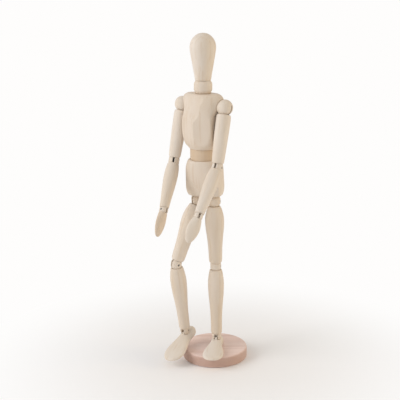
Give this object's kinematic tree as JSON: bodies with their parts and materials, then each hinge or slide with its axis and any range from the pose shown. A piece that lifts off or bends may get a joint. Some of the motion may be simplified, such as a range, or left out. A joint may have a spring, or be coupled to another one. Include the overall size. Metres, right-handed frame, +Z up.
{
  "type": "artist mannequin",
  "caption": "Jointed wooden artist mannequin striding on a round stand, with an egg-shaped head, carved chest and pelvis, slit bead joints and hidden steel links.",
  "frame": {"origin": "centre of the underside of the round stand", "axes": "+Z up through the stand, -Y is the front that the picture looks at, +X is the figure's own left side when it faces the front"},
  "size_m": [0.0866, 0.112, 0.3151],
  "materials": {
    "limewood": "fine sanded pale hardwood, unvarnished",
    "beech": "sanded pinkish hardwood with a thin coat",
    "steel": "bright drawn wire and strip"
  },
  "bodies": {
    "base": {"base": "beech", "base_peg": "steel"},
    "left_foot": {"left_foot": "limewood"},
    "left_ankle": {"left_ankle_bead": "limewood", "left_ankle_pin": "steel"},
    "left_shin": {"left_shin": "limewood", "left_shin_strap": "steel", "left_knee_bead": "limewood", "left_knee_pin": "steel"},
    "left_thigh": {"left_thigh": "limewood", "left_thigh_link": "steel"},
    "left_hip": {"left_hip_bead": "limewood", "left_hip_pin": "steel", "left_hip_stud": "steel"},
    "pelvis": {"pelvis": "limewood"},
    "right_hip": {"right_hip_bead": "limewood", "right_hip_pin": "steel", "right_hip_stud": "steel"},
    "right_thigh": {"right_thigh": "limewood", "right_thigh_link": "steel", "right_knee_bead": "limewood", "right_knee_pin": "steel"},
    "right_shin": {"right_shin": "limewood", "right_shin_strap": "steel"},
    "right_ankle": {"right_ankle_bead": "limewood", "right_ankle_pin": "steel"},
    "right_foot": {"right_foot": "limewood"},
    "waist_bead": {"waist_bead": "limewood"},
    "waist_spring": {"waist_spring": "steel"},
    "chest": {"chest": "limewood", "shoulder_spring": "steel"},
    "neck_bead": {"neck_bead": "limewood"},
    "neck_spring": {"neck_spring": "steel"},
    "head": {"head": "limewood"},
    "left_shoulder": {"left_shoulder_ball": "limewood", "left_shoulder_pin": "steel", "left_shoulder_stud": "steel"},
    "left_arm_hook": {"left_arm_hook": "steel"},
    "left_upper_arm": {"left_upper_arm": "limewood", "left_upper_arm_strap": "steel"},
    "left_elbow": {"left_elbow_bead": "limewood", "left_elbow_pin": "steel"},
    "left_forearm": {"left_forearm": "limewood", "left_forearm_strap": "steel"},
    "left_wrist": {"left_wrist_bead": "limewood", "left_wrist_pin": "steel"},
    "left_hand": {"left_hand": "limewood"},
    "right_shoulder": {"right_shoulder_ball": "limewood", "right_shoulder_pin": "steel", "right_shoulder_stud": "steel"},
    "right_arm_hook": {"right_arm_hook": "steel"},
    "right_upper_arm": {"right_upper_arm": "limewood", "right_upper_arm_strap": "steel"},
    "right_elbow": {"right_elbow_bead": "limewood", "right_elbow_pin": "steel"},
    "right_forearm": {"right_forearm": "limewood", "right_forearm_strap": "steel"},
    "right_wrist": {"right_wrist_bead": "limewood", "right_wrist_pin": "steel"},
    "right_hand": {"right_hand": "limewood"}
  },
  "joints": [
    {"name": "left_foot_swivel", "type": "hinge", "parent": "base", "child": "left_foot", "pos_m": [0.0016, -0.0061, 0.0108], "axis": [0, 0, 1], "range_deg": [-60, 60]},
    {"name": "left_ankle", "type": "hinge", "parent": "left_foot", "child": "left_ankle", "pos_m": [0.0016, -0.0061, 0.0231], "axis": [-0.9848, 0.1736, 0], "range_deg": [-5, 25]},
    {"name": "left_ankle_turn", "type": "hinge", "parent": "left_ankle", "child": "left_shin", "pos_m": [0.0016, -0.0061, 0.0231], "axis": [-0.0064, -0.0361, 0.9993], "range_deg": [-45, 35]},
    {"name": "left_knee", "type": "hinge", "parent": "left_shin", "child": "left_thigh", "pos_m": [0.00114, -0.00872, 0.09555], "axis": [0.9516, -0.3073, -0.005], "range_deg": [-65, 0]},
    {"name": "left_hip_bend", "type": "hinge", "parent": "left_thigh", "child": "left_hip", "pos_m": [-0.00012, -0.01369, 0.16095], "axis": [-0.9516, 0.3073, 0.005], "range_deg": [-2, 30]},
    {"name": "left_hip_turn", "type": "hinge", "parent": "left_hip", "child": "pelvis", "pos_m": [-0.00012, -0.01369, 0.16095], "axis": [-0.031, -0.1122, 0.9932], "range_deg": [-45, 30]},
    {"name": "right_hip_turn", "type": "hinge", "parent": "pelvis", "child": "right_hip", "pos_m": [-0.01569, -0.00738, 0.16118], "axis": [-0.031, -0.1122, 0.9932], "range_deg": [-50, 20]},
    {"name": "right_hip_bend", "type": "hinge", "parent": "right_hip", "child": "right_thigh", "pos_m": [-0.01569, -0.00738, 0.16118], "axis": [-0.5101, 0.8563, 0.0809], "range_deg": [0, 50]},
    {"name": "right_knee", "type": "hinge", "parent": "right_thigh", "child": "right_shin", "pos_m": [-0.03704, -0.01428, 0.09953], "axis": [0.5101, -0.8563, -0.0809], "range_deg": [-28, 4]},
    {"name": "right_ankle_turn", "type": "hinge", "parent": "right_shin", "child": "right_ankle", "pos_m": [-0.02991, -0.0033, 0.02823], "axis": [-0.0983, -0.1514, 0.9836], "range_deg": [-45, 25]},
    {"name": "right_ankle", "type": "hinge", "parent": "right_ankle", "child": "right_foot", "pos_m": [-0.02991, -0.0033, 0.02823], "axis": [0.8773, -0.4797, 0.0139], "range_deg": [-30, 5]},
    {"name": "waist_side", "type": "hinge", "parent": "pelvis", "child": "waist_bead", "pos_m": [-0.00933, -0.01571, 0.20685], "axis": [0.3746, 0.9199, 0.1156], "range_deg": [-12, 12]},
    {"name": "waist_bend", "type": "hinge", "parent": "waist_bead", "child": "waist_spring", "pos_m": [-0.00933, -0.01571, 0.20685], "axis": [0.9272, -0.3726, -0.0395], "range_deg": [-14, 14]},
    {"name": "waist_twist", "type": "hinge", "parent": "waist_spring", "child": "chest", "pos_m": [-0.00933, -0.01571, 0.20685], "axis": [-0.0054, -0.1188, 0.9929], "range_deg": [-40, 40]},
    {"name": "neck_side", "type": "hinge", "parent": "chest", "child": "neck_bead", "pos_m": [-0.00967, -0.02302, 0.26791], "axis": [0.5563, 0.8247, 0.1017], "range_deg": [-14, 14]},
    {"name": "neck_nod", "type": "hinge", "parent": "neck_bead", "child": "neck_spring", "pos_m": [-0.00967, -0.02302, 0.26791], "axis": [0.831, -0.5521, -0.0686], "range_deg": [-16, 16]},
    {"name": "neck_turn", "type": "hinge", "parent": "neck_spring", "child": "head", "pos_m": [-0.00967, -0.02302, 0.26791], "axis": [0.0043, -0.1169, 0.9931], "range_deg": [-70, 70]},
    {"name": "left_shoulder_spin", "type": "hinge", "parent": "chest", "child": "left_shoulder", "pos_m": [0.00954, -0.03367, 0.24922], "axis": [0.831, -0.5529, -0.0616], "range_deg": [-85, 60]},
    {"name": "left_shoulder_swing", "type": "hinge", "parent": "left_shoulder", "child": "left_arm_hook", "pos_m": [0.00954, -0.03367, 0.24922], "axis": [-0.5352, -0.8247, 0.1828], "range_deg": [0, 85]},
    {"name": "left_arm_twist", "type": "hinge", "parent": "left_arm_hook", "child": "left_upper_arm", "pos_m": [0.00954, -0.03367, 0.24922], "axis": [-0.1359, -0.1295, -0.9822], "range_deg": [-80, 80]},
    {"name": "left_elbow_roll", "type": "hinge", "parent": "left_upper_arm", "child": "left_elbow", "pos_m": [0.00224, -0.04062, 0.19647], "axis": [0.874, -0.4826, -0.0573], "range_deg": [-17, 14]},
    {"name": "left_elbow", "type": "hinge", "parent": "left_elbow", "child": "left_forearm", "pos_m": [0.00224, -0.04062, 0.19647], "axis": [0.874, -0.4826, -0.0573], "range_deg": [-17, 14]},
    {"name": "left_wrist_turn", "type": "hinge", "parent": "left_forearm", "child": "left_wrist", "pos_m": [-0.01515, -0.06749, 0.15754], "axis": [0.3451, 0.5332, 0.7724], "range_deg": [-80, 80]},
    {"name": "left_hand_bend", "type": "hinge", "parent": "left_wrist", "child": "left_hand", "pos_m": [-0.01515, -0.06749, 0.15754], "axis": [0.8895, 0.0769, -0.4505], "range_deg": [-40, 40]},
    {"name": "right_shoulder_spin", "type": "hinge", "parent": "chest", "child": "right_shoulder", "pos_m": [-0.02868, -0.00823, 0.25205], "axis": [0.831, -0.5529, -0.0616], "range_deg": [-90, 8]},
    {"name": "right_shoulder_swing", "type": "hinge", "parent": "right_shoulder", "child": "right_arm_hook", "pos_m": [-0.02868, -0.00823, 0.25205], "axis": [0.54, 0.8282, -0.1501], "range_deg": [0, 85]},
    {"name": "right_arm_twist", "type": "hinge", "parent": "right_arm_hook", "child": "right_upper_arm", "pos_m": [-0.02868, -0.00823, 0.25205], "axis": [0.1659, 0.0702, 0.9837], "range_deg": [-80, 60]},
    {"name": "right_elbow_roll", "type": "hinge", "parent": "right_upper_arm", "child": "right_elbow", "pos_m": [-0.03759, -0.012, 0.19923], "axis": [0.9828, -0.0935, -0.1591], "range_deg": [-17, 13]},
    {"name": "right_elbow", "type": "hinge", "parent": "right_elbow", "child": "right_forearm", "pos_m": [-0.03759, -0.012, 0.19923], "axis": [0.9828, -0.0935, -0.1591], "range_deg": [-17, 13]},
    {"name": "right_wrist_turn", "type": "hinge", "parent": "right_forearm", "child": "right_wrist", "pos_m": [-0.04689, -0.03788, 0.15699], "axis": [0.1844, 0.5134, 0.8381], "range_deg": [-80, 80]},
    {"name": "right_hand_bend", "type": "hinge", "parent": "right_wrist", "child": "right_hand", "pos_m": [-0.04689, -0.03788, 0.15699], "axis": [0.5468, 0.6549, -0.5216], "range_deg": [-40, 40]}
  ],
  "couplings": [
    {"joint": "left_elbow_roll", "follows": "left_elbow", "ratio": 1},
    {"joint": "right_elbow_roll", "follows": "right_elbow", "ratio": 1}
  ]
}
